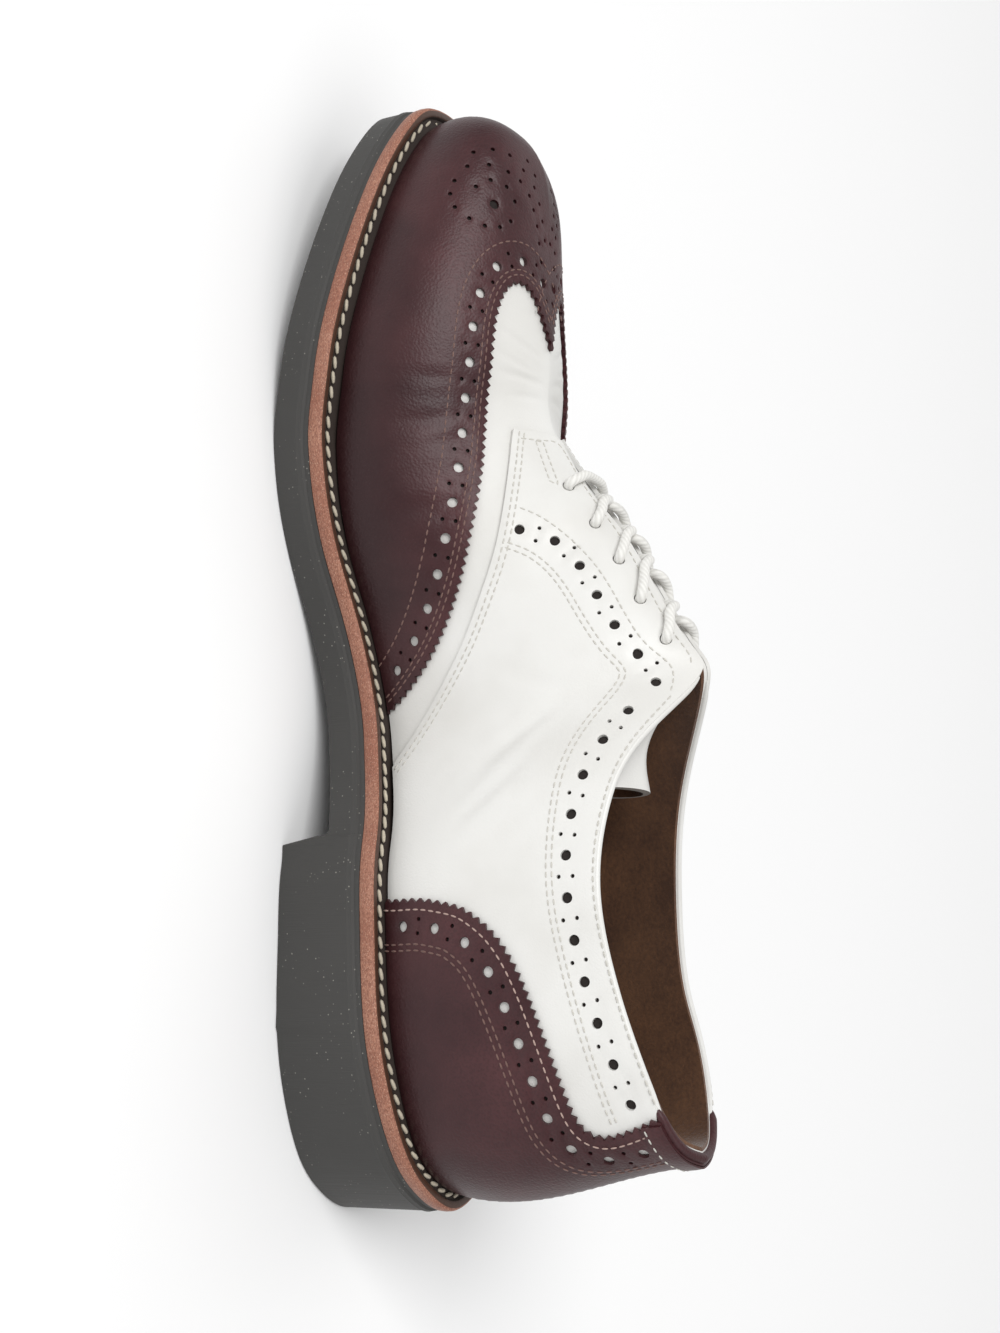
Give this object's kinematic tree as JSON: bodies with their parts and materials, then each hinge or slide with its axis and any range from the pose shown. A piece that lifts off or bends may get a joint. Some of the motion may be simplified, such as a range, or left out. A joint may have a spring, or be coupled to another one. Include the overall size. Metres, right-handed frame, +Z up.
{
  "type": "spectator shoe",
  "caption": "Right two-tone wingtip derby dress shoe, lace-up, with a welted leather upper, open collar and a flat rubber sole with a low heel.",
  "frame": {"origin": "centre of the heel's bottom face, on the floor", "axes": "+X towards the toe, +Y towards the inner side of the foot, +Z up"},
  "size_m": [0.305, 0.1063, 0.1064],
  "materials": {
    "rubber_sole": "matt charcoal rubber with fine upright striations",
    "welt_leather": "raw tan welt edge, lightly waxed",
    "insole_board": "brown leather sock, plain",
    "white_leather": "smooth white calf with fine creases, satin",
    "burgundy_leather": "fine pebbled burgundy leather, polished",
    "lace_cord": "round waxed white cotton",
    "lining_suede": "brown suede lining"
  },
  "bodies": {
    "root": {"outsole": "rubber_sole", "welt": "welt_leather", "insole": "insole_board", "upper": "white_leather", "wing_cap": "burgundy_leather", "quarter_inner": "white_leather", "quarter_outer": "white_leather", "heel_counter": "burgundy_leather", "tongue": "white_leather", "lace_bar": "lace_cord", "lace_cross_1": "lace_cord", "lace_cross_2": "lace_cord", "lace_cross_3": "lace_cord", "lace_cross_4": "lace_cord"}
  },
  "joints": []
}
